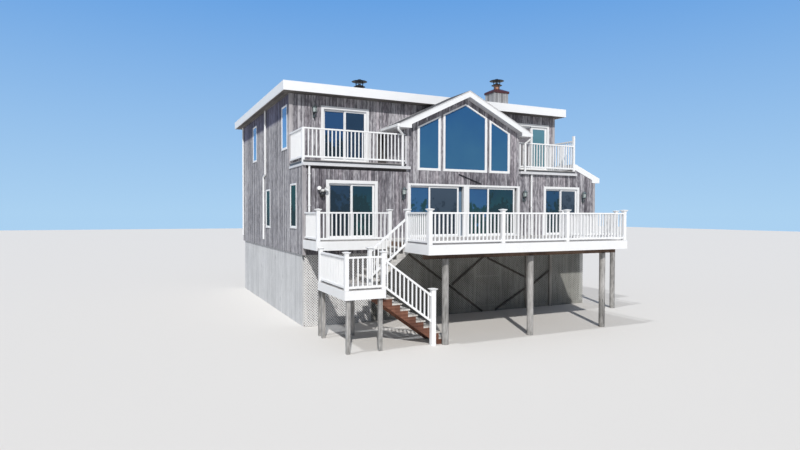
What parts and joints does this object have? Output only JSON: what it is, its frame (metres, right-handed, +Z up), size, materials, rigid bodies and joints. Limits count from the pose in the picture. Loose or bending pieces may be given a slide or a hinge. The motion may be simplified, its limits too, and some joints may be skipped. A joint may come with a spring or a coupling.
{
  "type": "beach house",
  "caption": "Timber beach house on piles with a front gable, balconies, a raised deck with white guards and a switchback stair.",
  "frame": {"origin": "ground level under the middle of the whole house, deck included", "axes": "+Z up, +X right along the front, +Y from the deck towards the back of the house"},
  "size_m": [14.18, 16.8975, 10.648],
  "materials": {
    "weathered_siding": "weathered upright boards, rough",
    "white_trim": "white paint, satin",
    "roof_membrane": "grey roofing sheet, matt",
    "roof_shingles": "grey shingles, rough",
    "deck_timber": "weathered grey boards",
    "brown_timber": "brown stained timber",
    "weathered_piles": "weathered round timber",
    "skirt_paint": "light grey paint, matt",
    "floor_timber": "plain boards",
    "window_glass": "clear, blue reflection",
    "door_panels": "glazed panels in white frames",
    "cap_metal": "dark red paint and copper",
    "black_metal": "black, satin",
    "verdigris_metal": "green weathered copper"
  },
  "bodies": {
    "house": {"piles": "weathered_piles", "skirt_walls": "skirt_paint", "skirt_lattice": "skirt_paint", "main_floor": "floor_timber", "upper_floor": "floor_timber", "front_piers": "weathered_siding", "front_wall_bands": "weathered_siding", "left_wall": "weathered_siding", "back_wall": "weathered_siding", "right_walls": "weathered_siding", "upper_front_wall": "weathered_siding", "bay_side_walls": "weathered_siding", "gable_wall": "weathered_siding", "flat_roof": "roof_membrane", "roof_trim": "white_trim", "gable_roof": "roof_shingles", "side_roof": "roof_shingles", "chimney_chase": "weathered_siding", "chimney_cap": "cap_metal", "roof_vents": "black_metal", "window_trim": "white_trim", "window_glass": "window_glass", "door_jambs": "white_trim", "door_heads_and_sills": "white_trim", "upper_door_frames": "white_trim", "fixed_door_panels": "door_panels", "deck_boards": "deck_timber", "deck_joists": "brown_timber", "deck_beams": "brown_timber", "deck_fascia": "white_trim", "guard_posts": "white_trim", "deck_guards": "white_trim", "landing": "deck_timber", "stair_stringers": "brown_timber", "stair_treads": "deck_timber", "stair_guards": "white_trim", "balcony_floors": "deck_timber", "balcony_front_guards": "white_trim", "balcony_side_guards": "white_trim", "gutters_and_downspouts": "white_trim", "wall_lanterns": "verdigris_metal"},
    "left_door_leaf_body": {"left_door_leaf": "door_panels"},
    "middle_left_door_leaf_body": {"middle_left_door_leaf": "door_panels"},
    "middle_right_door_leaf_body": {"middle_right_door_leaf": "door_panels"},
    "right_door_leaf_body": {"right_door_leaf": "door_panels"}
  },
  "joints": [
    {"name": "left_door_slide", "type": "slide", "parent": "house", "child": "left_door_leaf_body", "axis": [-1, 0, 0], "range_m": [0, 0.83]},
    {"name": "middle_left_door_slide", "type": "slide", "parent": "house", "child": "middle_left_door_leaf_body", "axis": [-1, 0, 0], "range_m": [-0.2, 0.8]},
    {"name": "middle_right_door_slide", "type": "slide", "parent": "house", "child": "middle_right_door_leaf_body", "axis": [-1, 0, 0], "range_m": [-0.1, 0.9]},
    {"name": "right_door_slide", "type": "slide", "parent": "house", "child": "right_door_leaf_body", "axis": [-1, 0, 0], "range_m": [0, 0.83]}
  ]
}
